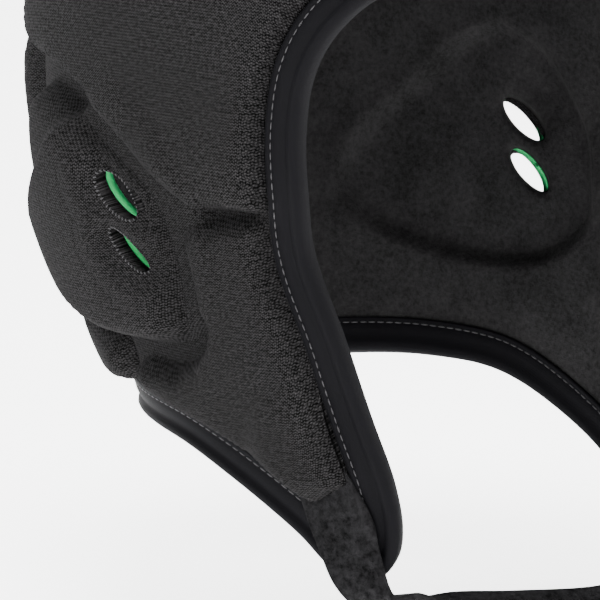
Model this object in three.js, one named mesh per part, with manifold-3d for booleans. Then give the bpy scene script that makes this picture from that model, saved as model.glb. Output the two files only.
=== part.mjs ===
// Rugby scrum cap, held open as a head holds it, in millimetres with +Z up.
// The face opening looks along -Y, +X is the wearer's left, and the origin is
// where the top of the head meets the lining.
import * as THREE from 'three';
import * as BufferGeometryUtils from 'three/addons/utils/BufferGeometryUtils.js';
import Module from 'manifold-3d';

const wasm = await Module();
wasm.setup();

// Head that the lining fits
const HALF_WIDTH = 80;
const FRONT_REACH = 98;
const BACK_REACH = 108;
const CROWN_HEIGHT = 95;
const CAP_DEPTH = 230;
const SECTION_POWER = 2.25;

// Layers, each measured outward from the lining
const SHELL_THICK = 2.2;
const PLAY = 0.3;
const PAD_EDGE = 1.0;
const PAD_RISE = 6.4;
const PAD_SHOULDER = 9;
const NARROW_SHOULDER = 5.5;
const BULGE_EVENED = 0.7;
const EAR_RISE = 7.6;
const COVER_THICK = 1.5;

// Hollow that keeps the lining off each ear
const EAR_HOLLOW = 4.6;
const HOLLOW_WALL = 9;

// Edge binding and chin strap
const BINDING_WIDTH = 10.5;
const BINDING_CLOTH = 1.8;
const ROLL = 3;
const STRAP_THICK = 2;

// Slots over each ear
const SLOT_LENGTH = 20;
const SLOT_WIDTH = 8.5;
const SLOT_LEAN = 48;
const COVER_SLOT_EASE = 0.6;

const BLACK = 0x2b2a2b;
const GREEN = 0x2fae62;

// Level sections of the head: drop, half width, front reach, back reach, each
// as a share of the size above that it scales
const SECTIONS = [
  { drop: 0.413, width: 1.0, front: 1.0, back: 1.0 },
  { drop: 0.522, width: 1.0, front: 0.99, back: 0.98 },
  { drop: 0.63, width: 0.95, front: 0.97, back: 0.91 },
  { drop: 0.739, width: 0.9125, front: 0.94, back: 0.78 },
  { drop: 0.848, width: 0.85, front: 0.9, back: 0.64 },
  { drop: 0.957, width: 0.83, front: 0.85, back: 0.58 },
  { drop: 1.065, width: 0.81, front: 0.8, back: 0.55 },
];

// Outlines seen from the side: reach forward (-) or back (+) as a share of
// FRONT_REACH, and drop as a share of CAP_DEPTH
const FACE_EDGE = [
  [-0.47, 0.313], [-0.36, 0.361], [-0.306, 0.409], [-0.286, 0.465], [-0.286, 0.543],
  [-0.286, 0.613], [-0.357, 0.709], [-0.408, 0.809], [-0.449, 0.878], [-0.464, 0.93],
];
const CHEEK_TIP = [[-0.45, 0.965], [-0.4, 0.992], [-0.327, 1.0], [-0.255, 0.978]];
const NECK_EDGE = [[-0.18, 0.949], [0.0, 0.904], [0.215, 0.865], [0.42, 0.851]];
const CHEEK_PAD = [
  [0.05, 0.59], [-0.05, 0.58], [-0.16, 0.59], [-0.19, 0.62], [-0.24, 0.683],
  [-0.31, 0.757], [-0.345, 0.817], [-0.37, 0.862], [-0.31, 0.885], [-0.22, 0.905],
  [-0.1, 0.882], [0.1, 0.833], [0.3, 0.806], [0.4, 0.785], [0.36, 0.762],
  [0.2, 0.758], [0.06, 0.745], [0.02, 0.705], [0.04, 0.65],
];
const EAR_PAD = [
  [0.76, 0.456], [0.58, 0.46], [0.42, 0.494], [0.3, 0.521], [0.2, 0.551], [0.145, 0.6],
  [0.12, 0.66], [0.116, 0.708], [0.165, 0.734], [0.3, 0.744], [0.45, 0.741],
  [0.63, 0.706], [0.76, 0.63], [0.81, 0.53],
];
const EAR_HOLLOW_RIM = [
  [-0.04, 0.61], [-0.01, 0.565], [0.08, 0.512], [0.19, 0.465], [0.33, 0.444],
  [0.46, 0.47], [0.56, 0.525], [0.64, 0.58], [0.66, 0.64], [0.58, 0.695],
  [0.42, 0.73], [0.22, 0.74], [0.05, 0.715], [-0.05, 0.665],
];
const TEMPLE_PAD = [
  [-0.175, 0.555], [-0.19, 0.5], [-0.21, 0.435], [-0.26, 0.374], [-0.37, 0.31],
  [-0.5, 0.268], [-0.64, 0.228], [-0.5, 0.196], [-0.2, 0.177], [0.15, 0.172],
  [0.5, 0.19], [0.73, 0.25], [0.86, 0.33], [0.84, 0.41], [0.6, 0.438],
  [0.41, 0.472], [0.285, 0.503], [0.19, 0.532], [0.1, 0.551], [0.02, 0.559], [-0.07, 0.557],
];
const LOWER_BACK_PAD = [
  [0.45, 0.752], [0.62, 0.718], [0.72, 0.69], [0.7, 0.75], [0.62, 0.805], [0.46, 0.808],
  [0.44, 0.78],
];
const SLOTS = [{ reach: 0.2, drop: 0.545, tilt: 32 }, { reach: 0.225, drop: 0.612, tilt: 38 }];
const STRAP_FRONT_TAB = [[-0.378, 0.87], [-0.408, 0.922], [-0.42, 0.955]];
const STRAP_REAR_TAB = [[-0.204, 0.917], [-0.25, 0.961], [-0.296, 1.0]];

// Edges of the free stretch of the strap, to the middle of the chin: shares of
// HALF_WIDTH across, FRONT_REACH forward and CAP_DEPTH down
const STRAP_FRONT = [
  [0.8, -0.485, 1.008], [0.705, -0.51, 1.01], [0.64, -0.59, 1.026],
  [0.475, -0.735, 1.048], [0.25, -0.847, 1.065], [0, -0.898, 1.074],
];
const STRAP_REAR = [
  [0.79, -0.337, 1.026], [0.65, -0.367, 1.026], [0.56, -0.388, 1.032],
  [0.46, -0.449, 1.027], [0.31, -0.561, 1.027], [0, -0.684, 1.03],
];

// Outlines round the crown and the back: turn from the front in degrees, and
// drop as a share of CAP_DEPTH
const BROW_EDGE = [[0, 0.252], [14, 0.253], [28, 0.259], [42, 0.277]];
const NAPE_EDGE = [[145, 0.846], [162, 0.845], [180, 0.845]];
const FOREHEAD_PAD = [
  [0, 0.204], [16, 0.205], [27, 0.21], [33, 0.216], [35, 0.195], [34, 0.155], [29, 0.115],
  [15, 0.1], [0, 0.097],
];
const CROWN_PAD = [
  [0, 0.08], [22, 0.076], [45, 0.062], [70, 0.048], [90, 0.044], [110, 0.048],
  [135, 0.062], [158, 0.076], [180, 0.08],
];
const CROWN_SIDE_PAD = [
  [45, 0.17], [40, 0.125], [44, 0.09], [62, 0.068], [90, 0.06], [118, 0.068],
  [138, 0.09], [143, 0.12], [138, 0.165], [118, 0.158], [90, 0.152], [64, 0.156],
];
const BACK_PAD = [
  [180, 0.097], [167, 0.1], [154, 0.112], [149, 0.15], [148, 0.2], [150, 0.27],
  [152, 0.335], [160, 0.36], [170, 0.367], [180, 0.37],
];
const UPPER_BACK_PAD = [
  [156, 0.4], [166, 0.395], [175, 0.405], [176.5, 0.45], [176.5, 0.58], [174, 0.62],
  [165, 0.635], [156, 0.625], [152, 0.58], [151, 0.51], [152, 0.435],
];
const NAPE_PAD = [
  [180, 0.665], [168, 0.665], [158, 0.668], [154, 0.69], [153, 0.74], [154, 0.785],
  [158, 0.8], [168, 0.803], [180, 0.803],
];

const radians = THREE.MathUtils.degToRad;
const material = (name, colour) =>
  new THREE.MeshStandardMaterial({ name, color: colour, roughness: 0.95, metalness: 0 });
const padCloth = material('pad cloth', BLACK);
const liningCloth = material('lining cloth', 0x222122);
const bindingCloth = material('binding cloth', 0x29282c);
const strapCloth = material('strap cloth', 0x262527);
const foam = material('foam', GREEN);

// Width, front and back reach of the level section at this drop
function section(drop) {
  if (drop < CROWN_HEIGHT) {
    const rise = 1 - Math.max(drop, 0) / CROWN_HEIGHT;
    const share = Math.sqrt(1 - rise * rise);
    return { width: HALF_WIDTH * share, front: FRONT_REACH * share, back: BACK_REACH * share };
  }
  const share = drop / CAP_DEPTH;
  const last = SECTIONS.length - 2;
  const found = SECTIONS.findIndex((row) => row.drop > share) - 1;
  const i = found < 0 ? (share < 1 ? 0 : last) : found;
  const [a, b] = [SECTIONS[i], SECTIONS[i + 1]];
  const t = Math.min((share - a.drop) / (b.drop - a.drop), 1);
  const blend = (key) => {
    const slope = (j) => {
      const before = SECTIONS[Math.max(j - 1, 0)];
      const after = SECTIONS[Math.min(j + 1, last + 1)];
      return j === 0 ? 0 : (after[key] - before[key]) / (after.drop - before.drop);
    };
    const span = b.drop - a.drop;
    const [t2, t3] = [t * t, t * t * t];
    return (2 * t3 - 3 * t2 + 1) * a[key] + (t3 - 2 * t2 + t) * span * slope(i)
      + (3 * t2 - 2 * t3) * b[key] + (t3 - t2) * span * slope(i + 1);
  };
  return {
    width: HALF_WIDTH * blend('width'),
    front: FRONT_REACH * blend('front'),
    back: BACK_REACH * blend('back'),
  };
}

// How far out a point lies: 1 on the lining, less inside it
function outness(p) {
  const drop = -p.z;
  const size = section(Math.max(drop, CROWN_HEIGHT));
  const reach = p.y < 0 ? size.front : size.back;
  const across = (Math.abs(p.x) / size.width) ** SECTION_POWER
    + (Math.abs(p.y) / reach) ** SECTION_POWER;
  const level = across ** (1 / SECTION_POWER);
  return drop < CROWN_HEIGHT ? Math.hypot(level, 1 - drop / CROWN_HEIGHT) : level;
}

// The nearby point of the lining's surface
function ontoHead(p) {
  const scale = 1 / outness(p);
  const middle = Math.min(p.z, -CROWN_HEIGHT);
  return new THREE.Vector3(p.x * scale, p.y * scale, middle + (p.z - middle) * scale);
}

function outward(p) {
  const step = 0.2;
  const slope = (axis) => {
    const ahead = p.clone();
    const behind = p.clone();
    ahead[axis] += step;
    behind[axis] -= step;
    return outness(ahead) - outness(behind);
  };
  return new THREE.Vector3(slope('x'), slope('y'), slope('z')).normalize();
}

// Point of the wearer's right side that the side view shows here
function sidePoint([reach, drop]) {
  const [y, z] = [reach * FRONT_REACH, -drop * CAP_DEPTH];
  const size = section(-z);
  const share = Math.abs(y) / (y < 0 ? size.front : size.back);
  const x = size.width * Math.max(1 - share ** SECTION_POWER, 0) ** (1 / SECTION_POWER);
  return ontoHead(new THREE.Vector3(-x, y, z));
}

// Point of the wearer's right half at this turn from the front
function turnPoint([turn, drop]) {
  const size = section(drop * CAP_DEPTH);
  const [s, c] = [Math.sin(radians(turn)), Math.cos(radians(turn))];
  const reach = c > 0 ? size.front : size.back;
  const radius = ((Math.abs(s) / size.width) ** SECTION_POWER
    + (Math.abs(c) / reach) ** SECTION_POWER) ** (-1 / SECTION_POWER);
  return new THREE.Vector3(-radius * s, -radius * c, -drop * CAP_DEPTH);
}

const mirrored = (points) => points.map((p) => new THREE.Vector3(-p.x, p.y, p.z)).reverse();

// A closed outline whose first and last points lie on the middle plane
const bothHalves = (half) => [...half, ...mirrored(half.slice(1, -1))];

const smooth = (share) => {
  const t = THREE.MathUtils.clamp(share, 0, 1);
  return t * t * (3 - 2 * t);
};

// Distance inside the rim of the ear hollow in the side view, negative outside
const hollowRim = EAR_HOLLOW_RIM.map(([reach, drop]) => [reach * FRONT_REACH, -drop * CAP_DEPTH]);
function insideHollow(y, z) {
  let nearest = Infinity;
  let inside = false;
  hollowRim.forEach(([ay, az], i) => {
    const [by, bz] = hollowRim[(i + 1) % hollowRim.length];
    const [dy, dz] = [by - ay, bz - az];
    const along = ((y - ay) * dy + (z - az) * dz) / (dy * dy + dz * dz);
    const t = THREE.MathUtils.clamp(along, 0, 1);
    nearest = Math.min(nearest, Math.hypot(y - ay - t * dy, z - az - t * dz));
    if (az > z !== bz > z && y < ay + ((z - az) / dz) * dy) inside = !inside;
  });
  return inside ? nearest : -nearest;
}

const hollowDepth = (p) => EAR_HOLLOW * smooth(insideHollow(p.y, p.z) / HOLLOW_WALL);

const skin = (p, offset) => p.clone().addScaledVector(outward(p), offset);

// Height of a pad's top at this share of its rise: the edge follows the bulge
// behind the ear hollow, and the crest of a plain pad evens most of it out
const padTop = (p, share) => SHELL_THICK + PLAY + PAD_EDGE + PAD_RISE * share
  + hollowDepth(p) * (1 - BULGE_EVENED * share);
const earTop = (p, share) => SHELL_THICK + PLAY + PAD_EDGE + EAR_RISE * share + hollowDepth(p);

// Closed smooth outline through these points, on the head
function outlineRing(points, count) {
  const curve = new THREE.CatmullRomCurve3(points, true, 'centripetal');
  return curve.getSpacedPoints(count).slice(0, count).map(ontoHead);
}

// The outline moved inward over the head by this distance
function insetRing(ring, distance, centre) {
  return ring.map((p, i) => {
    const along = ring[(i + 1) % ring.length].clone()
      .sub(ring[(i + ring.length - 1) % ring.length]).normalize();
    const inward = along.cross(outward(p)).normalize();
    if (inward.dot(centre.clone().sub(p)) < 0) inward.negate();
    return ontoHead(p.clone().addScaledVector(inward, distance));
  });
}

const middleOf = (ring) => ontoHead(
  ring.reduce((sum, p) => sum.add(p), new THREE.Vector3()).divideScalar(ring.length));

// Rings from the outline in to the middle, with the share of the rise at each
function padRings(outline, count, inner, slope = PAD_SHOULDER, within = 0) {
  const outer = outlineRing(outline, count);
  const centre = middleOf(outer);
  const edge = insetRing(outer, within, centre);
  const shoulder = insetRing(edge, slope, centre);
  const rings = [{ points: edge, share: 0 }];
  rings.push({ points: insetRing(edge, slope * 0.35, centre), share: 0.62 });
  rings.push({ points: shoulder, share: 0.95 });
  for (let i = 1; i <= inner; i += 1) {
    const points = shoulder.map((p) => ontoHead(p.clone().lerp(centre, i / (inner + 1))));
    rings.push({ points, share: 1 });
  }
  return { rings, centre };
}

// Closed solid from a stack of equal rings, capped by a point at each end, with
// the second half of each ring split as the mirror image of the first
function ringSolid(rings, first, last) {
  const count = rings[0].length;
  const corners = [first, ...rings.flat(), last];
  const at = (ring, i) => 1 + ring * count + (i % count);
  const faces = [];
  for (let i = 0; i < count; i += 1) {
    faces.push([0, at(0, i + 1), at(0, i)]);
    faces.push([corners.length - 1, at(rings.length - 1, i), at(rings.length - 1, i + 1)]);
    for (let r = 0; r < rings.length - 1; r += 1) {
      const [a, b, c, d] = [at(r, i), at(r, i + 1), at(r + 1, i + 1), at(r + 1, i)];
      faces.push(...(i < count / 2 ? [[a, b, c], [a, c, d]] : [[a, b, d], [b, c, d]]));
    }
  }
  return facedOut(corners, faces);
}

function facedOut(corners, faces) {
  const volume = faces.reduce((sum, [a, b, c]) =>
    sum + corners[a].dot(corners[b].clone().cross(corners[c])), 0);
  const index = faces.flatMap(([a, b, c]) => (volume > 0 ? [a, b, c] : [a, c, b]));
  const geometry = new THREE.BufferGeometry();
  geometry.setAttribute('position',
    new THREE.Float32BufferAttribute(corners.flatMap((p) => p.toArray()), 3));
  geometry.setIndex(index);
  return geometry;
}

const toSolid = (geometry) => {
  const merged = BufferGeometryUtils.mergeVertices(geometry, 1e-5);
  return new wasm.Manifold(new wasm.Mesh({
    numProp: 3,
    vertProperties: Float32Array.from(merged.attributes.position.array),
    triVerts: Uint32Array.from(merged.index.array),
  }));
};

const fromSolid = (solid) => {
  const mesh = solid.getMesh();
  const geometry = new THREE.BufferGeometry();
  geometry.setAttribute('position', new THREE.BufferAttribute(mesh.vertProperties, 3));
  geometry.setIndex(new THREE.BufferAttribute(mesh.triVerts, 1));
  return geometry;
};

// Padded panel: a domed top with soft shoulders, and a back that lies on the shell
function padSolid(outline, count, inner, slope) {
  const { rings, centre } = padRings(outline, count, inner, slope);
  const top = rings.map(({ points, share }) => points.map((p) => skin(p, padTop(p, share))));
  const sunk = rings[0].points.map((p) => skin(p, 0));
  const solid = ringSolid([sunk, ...top], skin(centre, -PAD_SHOULDER), skin(centre, padTop(centre, 1)));
  return toSolid(solid).subtract(clearOfShell).intersect(insideSeam);
}

// Prism along the given axis with this outline in the side view
function prismOf(outline, from, axis) {
  const shape = new THREE.Shape(outline.map(([y, z]) => new THREE.Vector2(y, z)));
  const prism = new THREE.ExtrudeGeometry(shape, { depth: 1, bevelEnabled: false });
  prism.deleteAttribute('normal');
  prism.deleteAttribute('uv');
  const axes = new THREE.Matrix4().makeBasis(new THREE.Vector3(0, 1, 0),
    new THREE.Vector3(0, 0, 1), axis);
  return toSolid(prism.applyMatrix4(axes.setPosition(from)));
}

// Prism through both walls
const sidePrism = (outline) => prismOf(outline, new THREE.Vector3(-2 * HALF_WIDTH, 0, 0),
  new THREE.Vector3(4 * HALF_WIDTH, 0, 0));

// The right ear's slots, which lean back as they go outward
function slotPrisms(ease) {
  const corners = 12;
  const lean = HALF_WIDTH * Math.tan(radians(SLOT_LEAN));
  return SLOTS.map(({ reach, drop, tilt }) => prismOf(Array.from({ length: corners }, (_, i) => {
    const turn = (2 * Math.PI * i) / corners;
    const along = (SLOT_LENGTH / 2 + ease) * Math.cos(turn);
    const across = (SLOT_WIDTH / 2 + ease) * Math.sin(turn);
    const [c, s] = [Math.cos(radians(tilt)), Math.sin(radians(tilt))];
    return [reach * FRONT_REACH + along * c - across * s, -drop * CAP_DEPTH + along * s + across * c];
  }), new THREE.Vector3(-1.5 * HALF_WIDTH, lean / 2, 0), new THREE.Vector3(HALF_WIDTH, -lean, 0)));
}

const withSlots = (solid, ease = 0) =>
  slotPrisms(ease).reduce((left, slot) => left.subtract(slot), solid);

// Outer edge of the binding, from the middle of the brow round the right cheek
// tip to the middle of the nape, then back along the left side
function edgeLoop() {
  const half = [
    ...BROW_EDGE.map(turnPoint), ...FACE_EDGE.map(sidePoint), ...CHEEK_TIP.map(sidePoint),
    ...NECK_EDGE.map(sidePoint), ...NAPE_EDGE.map(turnPoint),
  ];
  const loop = bothHalves(half);
  const curve = new THREE.CatmullRomCurve3(loop, true, 'centripetal');
  const count = 1.5 * loop.length;
  return Array.from({ length: count }, (_, i) => ontoHead(curve.getPoint(i / count)));
}

const binding = edgeLoop();

// Unit vector over the head, at right angles to the edge and into the cap
function intoCap(i) {
  const along = binding[(i + 1) % binding.length].clone()
    .sub(binding[(i + binding.length - 1) % binding.length]).normalize();
  return along.cross(outward(binding[i])).normalize();
}

const inFromEdge = (i, distance) =>
  ontoHead(binding[i].clone().addScaledVector(intoCap(i), distance));

// Side view of all that lies this far above and behind the face and neck edges
function prismInside(distance) {
  const half = binding.slice(0, binding.length / 2 + 1).map((p, i) => inFromEdge(i, distance));
  const clear = half.filter((p) => binding.every((q) => p.distanceTo(q) > 0.97 * distance));
  const far = 2 * BACK_REACH;
  const outline = clear.map((p) => [p.y, p.z]);
  const [brow, nape] = [outline[0], outline[outline.length - 1]];
  return sidePrism([[-far, brow[1]], ...outline.slice(1, -1), [far, nape[1]], [far, far], [-far, far]]);
}

// Turns and drops of the shell's grid, closer together at the ear hollow
const steps = (from, to, count) =>
  Array.from({ length: count }, (_, i) => from + ((to - from) * i) / count);
const TURNS = [...steps(0, 66, 5), ...steps(66, 132, 8), ...steps(132, 180, 4), 180];
const DROPS = [0.02, 0.07, 0.15, 0.25, 0.35, ...steps(0.44, 0.75, 7), 0.75, 0.82, 0.9, 1.02];

// The head with its ear hollows, grown outward by this offset
function headSolid(offset) {
  const turns = [...TURNS, ...TURNS.slice(1, -1).reverse().map((turn) => 360 - turn)];
  const layers = DROPS.map((drop) => turns.map((turn) => {
    const p = turnPoint([turn, drop]);
    return skin(p, offset + hollowDepth(p));
  }));
  return toSolid(ringSolid(layers, skin(new THREE.Vector3(), offset),
    new THREE.Vector3(0, 0, -CAP_DEPTH * DROPS[DROPS.length - 1])));
}

// Lining and its backing, open at the face and neck, with slots at both ears
function shellSolid() {
  const wall = headSolid(SHELL_THICK).subtract(headSolid(0)).intersect(prismInside(ROLL));
  return withSlots(withSlots(wall).mirror([1, 0, 0]));
}

// What the pads are cut with, so that they clear the shell and the binding
const clearOfShell = headSolid(SHELL_THICK + PLAY);
const insideSeam = prismInside(BINDING_WIDTH + 3 * PLAY);

// Folded cloth over the shell's edge: a rounded bar with a groove that clears it
function bindingSolid() {
  const over = SHELL_THICK + BINDING_CLOTH;
  const profile = [
    [BINDING_WIDTH, over - 0.7], [BINDING_WIDTH - 2.5, over], [ROLL, over + 0.7],
    [0.5, over - 0.6], [0, SHELL_THICK / 2], [0.5, 0.6 - BINDING_CLOTH],
    [ROLL, -BINDING_CLOTH], [BINDING_WIDTH, -BINDING_CLOTH / 2],
  ];
  const stations = binding.map((_, i) => profile.map(([across, up]) => {
    const p = inFromEdge(i, across);
    return skin(p, up + hollowDepth(p));
  }));
  const count = profile.length;
  const at = (i, k) => (i % stations.length) * count + (k % count);
  const faces = [];
  for (let i = 0; i < stations.length; i += 1) {
    for (let k = 0; k < count; k += 1) {
      faces.push([at(i, k), at(i + 1, k), at(i + 1, k + 1)], [at(i, k), at(i + 1, k + 1), at(i, k + 1)]);
    }
  }
  const groove = headSolid(SHELL_THICK + PLAY).subtract(headSolid(-PLAY))
    .intersect(prismInside(ROLL - 2 * PLAY));
  return toSolid(facedOut(stations.flat(), faces)).subtract(groove);
}

// Dome over the ear, this far within the ear pad's outer skin
function earDome(within) {
  const { rings, centre } = padRings(EAR_PAD.map(sidePoint), 20, 2, PAD_SHOULDER, within);
  const top = rings.map(({ points, share }) => points.map((p) => skin(p, earTop(p, share) - within)));
  const sunk = rings[0].points.map((p) => skin(p, -PAD_SHOULDER / 2));
  return toSolid(ringSolid([sunk, ...top], skin(centre, -PAD_SHOULDER),
    skin(centre, earTop(centre, 1) - within)));
}

const earCover = () => earDome(0).subtract(earDome(COVER_THICK)).subtract(clearOfShell);
const earFoam = () => earDome(COVER_THICK + PLAY).subtract(clearOfShell);

// Ribbon between two edges, each a smooth line through these points
function ribbon(front, rear, count, thick) {
  const [a, b] = [front, rear].map((points) => new THREE.CatmullRomCurve3(points, false, 'centripetal'));
  const sections = Array.from({ length: count + 1 }, (_, i) => {
    const [p, q] = [a.getPoint(i / count), b.getPoint(i / count)];
    const along = a.getTangent(i / count).add(b.getTangent(i / count));
    const face = along.cross(q.clone().sub(p)).normalize().multiplyScalar(thick / 2);
    const middle = p.clone().lerp(q, 0.5);
    return [p.clone().add(face), middle.clone().add(face), q.clone().add(face),
      q.clone().sub(face), middle.clone().sub(face), p.clone().sub(face)];
  });
  const last = sections.length - 1;
  return ringSolid(sections, sections[0][1].clone().lerp(sections[0][4], 0.5),
    sections[last][1].clone().lerp(sections[last][4], 0.5));
}

// Band from one cheek tip under the chin to the other: sewn over the binding
// with its width along the cheek, then turning flat under the chin
function chinStrap() {
  const lift = SHELL_THICK + BINDING_CLOTH + 0.7 + 2 * PLAY + STRAP_THICK / 2;
  const sewn = (table) => table.map((row) => skin(sidePoint(row), lift));
  const loose = (table) => table.map(([x, y, z]) =>
    new THREE.Vector3(-x * HALF_WIDTH, y * FRONT_REACH, -z * CAP_DEPTH));
  const edge = (tab, free) => {
    const half = [...sewn(tab), ...loose(free)];
    return [...half, ...mirrored(half.slice(0, -1))];
  };
  const front = edge(STRAP_FRONT_TAB, STRAP_FRONT);
  const rear = edge(STRAP_REAR_TAB, STRAP_REAR);
  return toSolid(ribbon(front, rear, 34, STRAP_THICK));
}

const group = new THREE.Group();
group.name = 'rugby_scrum_cap';

function add(name, solid, cloth) {
  const geometry = fromSolid(solid).toNonIndexed();
  geometry.computeVertexNormals();
  const mesh = new THREE.Mesh(geometry, cloth);
  mesh.name = name;
  group.add(mesh);
}

// The same solid for the wearer's right and, mirrored, for the left
function addPair(name, solid, cloth) {
  add(`${name}_right`, solid, cloth);
  add(`${name}_left`, solid.mirror([1, 0, 0]), cloth);
}

add('shell', shellSolid(), liningCloth);
add('edge_binding', bindingSolid(), bindingCloth);
addPair('temple_pad', padSolid(TEMPLE_PAD.map(sidePoint), 22, 2), padCloth);
addPair('cheek_pad', padSolid(CHEEK_PAD.map(sidePoint), 26, 1, NARROW_SHOULDER), padCloth);
addPair('ear_cover', withSlots(earCover(), COVER_SLOT_EASE), padCloth);
addPair('ear_foam', withSlots(earFoam()), foam);
addPair('lower_back_pad', padSolid(LOWER_BACK_PAD.map(sidePoint), 14, 0, NARROW_SHOULDER), padCloth);
addPair('upper_back_pad', padSolid(UPPER_BACK_PAD.map(turnPoint), 18, 1), padCloth);
addPair('crown_side_pad', padSolid(CROWN_SIDE_PAD.map(turnPoint), 22, 1), padCloth);
add('forehead_pad', padSolid(bothHalves(FOREHEAD_PAD.map(turnPoint)), 24, 1), padCloth);
add('crown_pad', padSolid(bothHalves(CROWN_PAD.map(turnPoint)), 24, 2), padCloth);
add('back_pad', padSolid(bothHalves(BACK_PAD.map(turnPoint)), 24, 2), padCloth);
add('nape_pad', padSolid(bothHalves(NAPE_PAD.map(turnPoint)), 24, 1), padCloth);
add('chin_strap', chinStrap(), strapCloth);

export default group;
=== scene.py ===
"""Rugby scrum cap: moulded foam pads under knit cloth, held open as a head holds it.

Lengths are in millimetres until a mesh is made. The face opening looks along -Y, +X is
the wearer's left, and the origin is where the top of the head meets the lining.
"""

import functools
import math

import bpy
import numpy as np
from bpy.props import FloatProperty, FloatVectorProperty, PointerProperty
from mathutils import Matrix, Vector, noise
from mathutils.geometry import delaunay_2d_cdt


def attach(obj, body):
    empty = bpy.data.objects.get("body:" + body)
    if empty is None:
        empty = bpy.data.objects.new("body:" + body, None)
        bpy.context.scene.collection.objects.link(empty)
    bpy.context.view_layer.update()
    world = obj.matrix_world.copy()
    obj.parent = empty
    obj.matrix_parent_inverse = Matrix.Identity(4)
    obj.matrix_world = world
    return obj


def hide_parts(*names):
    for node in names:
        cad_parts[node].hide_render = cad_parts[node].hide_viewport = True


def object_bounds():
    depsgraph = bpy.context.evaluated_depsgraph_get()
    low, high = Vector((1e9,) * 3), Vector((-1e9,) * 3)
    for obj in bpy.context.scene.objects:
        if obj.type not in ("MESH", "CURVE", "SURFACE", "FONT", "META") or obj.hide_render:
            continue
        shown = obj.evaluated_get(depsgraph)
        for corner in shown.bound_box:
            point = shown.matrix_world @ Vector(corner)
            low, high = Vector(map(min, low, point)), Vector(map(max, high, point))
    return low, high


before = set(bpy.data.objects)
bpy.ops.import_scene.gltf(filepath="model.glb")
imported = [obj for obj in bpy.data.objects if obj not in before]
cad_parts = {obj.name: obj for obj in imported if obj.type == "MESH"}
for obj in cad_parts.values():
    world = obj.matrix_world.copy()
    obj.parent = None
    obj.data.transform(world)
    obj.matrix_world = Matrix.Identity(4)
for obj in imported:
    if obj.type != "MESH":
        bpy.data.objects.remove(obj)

bl_info = {
    "name": "Rugby scrum cap",
    "version": (1, 0, 0),
    "blender": (4, 5, 0),
    "location": "3D View > Sidebar > Scrum cap",
    "description": "Builds a padded rugby scrum cap with slotted ear pads and a chin strap",
    "category": "Add Mesh",
}

CAD_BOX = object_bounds()

# Power of the superellipse that each level section of the head is
SECTION_POWER = 2.25

# Drop over which the flat map of the whole cap grows by a factor of e
CHART_FALL = 88

# Rows of points this far inside the outlines of the pads and of the ear pads
PAD_ROWS = (0.45, 1.0, 1.7, 2.6, 3.7, 5.0, 6.6)
EAR_ROWS = (0.4, 0.9, 1.6, 2.5, 3.6, 4.9, 6.4)

# How far cloth and foam lie off the shell
PAD_TOP_SEAT = 0.12
PAD_UNDER_SEAT = 0.04
COVER_UNDER_SEAT = 0.05
FOAM_TOP_SEAT = 0.2
FOAM_UNDER_SEAT = 0.1

# Shape of a pad's rounded edge: the fillet at its foot, and the power of its curve
PAD_FILLET = 1.3
SHOULDER_POWER = 2.3

# Slots of the ear pads: points round each, cloth turned down into it, its rise for each
# millimetre inward, and how much wider it is where the foam meets the shell
SLOT_POINTS = 64
TURNED_IN = 3.2
SLOT_RISE = 0.22
DEEP_EASE = 0.9

# Dimple round each slot, what it leaves of the dome, and the crease round the dimple
DIMPLE_DEPTH = 3.6
DIMPLE_REACH = 7.5
LEAST_DOME = 1.3
CREASE_DEPTH = 0.4
CREASE_AWAY = 11.0
CREASE_WIDTH = 0.9
CREASE_FADE = 9

# How far the ear foam keeps inside its cover: at the rim, at the slots and under the cloth
FOAM_RIM_GAP = 0.3
FOAM_SLOT_GAP = 0.7
FOAM_TOP_GAP = 0.25

# How far inside the binding's seam its stitches lie
STITCH_INSET = 2.0

# The photograph's camera, in degrees, metres and, for its lens, millimetres
CAMERA_TURN = -49.07
CAMERA_RISE = 10.48
CAMERA_AWAY = 1.4
CAMERA_TARGET = (-0.0268, 0.0183, -0.1648)
CAMERA_LENS = 304.7

# Level sections of the head: drop, half width, front reach and back reach, each as a
# share of the size that it scales
SECTIONS = np.array([
    (0.413, 1.0, 1.0, 1.0), (0.522, 1.0, 0.99, 0.98), (0.63, 0.95, 0.97, 0.91),
    (0.739, 0.9125, 0.94, 0.78), (0.848, 0.85, 0.9, 0.64), (0.957, 0.83, 0.85, 0.58),
    (1.065, 0.81, 0.8, 0.55),
])

# Side outlines: reach forward (-) or back (+) as a share of the front reach, and drop
# as a share of the cap's depth
FACE_EDGE = [
    (-0.47, 0.313), (-0.36, 0.361), (-0.306, 0.409), (-0.286, 0.465), (-0.286, 0.543),
    (-0.286, 0.613), (-0.357, 0.709), (-0.408, 0.809), (-0.449, 0.878), (-0.464, 0.93),
]
CHEEK_TIP = [(-0.45, 0.965), (-0.4, 0.992), (-0.327, 1.0), (-0.255, 0.978)]
NECK_EDGE = [(-0.18, 0.949), (0.0, 0.904), (0.215, 0.865), (0.42, 0.851)]
CHEEK_PAD = [
    (0.085, 0.592), (-0.03, 0.571), (-0.16, 0.573), (-0.19, 0.62), (-0.24, 0.683),
    (-0.31, 0.757), (-0.345, 0.817), (-0.37, 0.862), (-0.31, 0.885), (-0.22, 0.905),
    (-0.1, 0.882), (0.1, 0.833), (0.3, 0.806), (0.4, 0.785), (0.36, 0.762),
    (0.2, 0.76), (0.1, 0.742), (0.062, 0.705), (0.078, 0.65),
]
EAR_PAD = [
    (0.76, 0.456), (0.58, 0.46), (0.42, 0.494), (0.3, 0.521), (0.2, 0.551),
    (0.145, 0.6), (0.12, 0.66), (0.116, 0.708), (0.165, 0.734), (0.3, 0.744),
    (0.45, 0.741), (0.63, 0.706), (0.76, 0.63), (0.81, 0.53),
]
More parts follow.
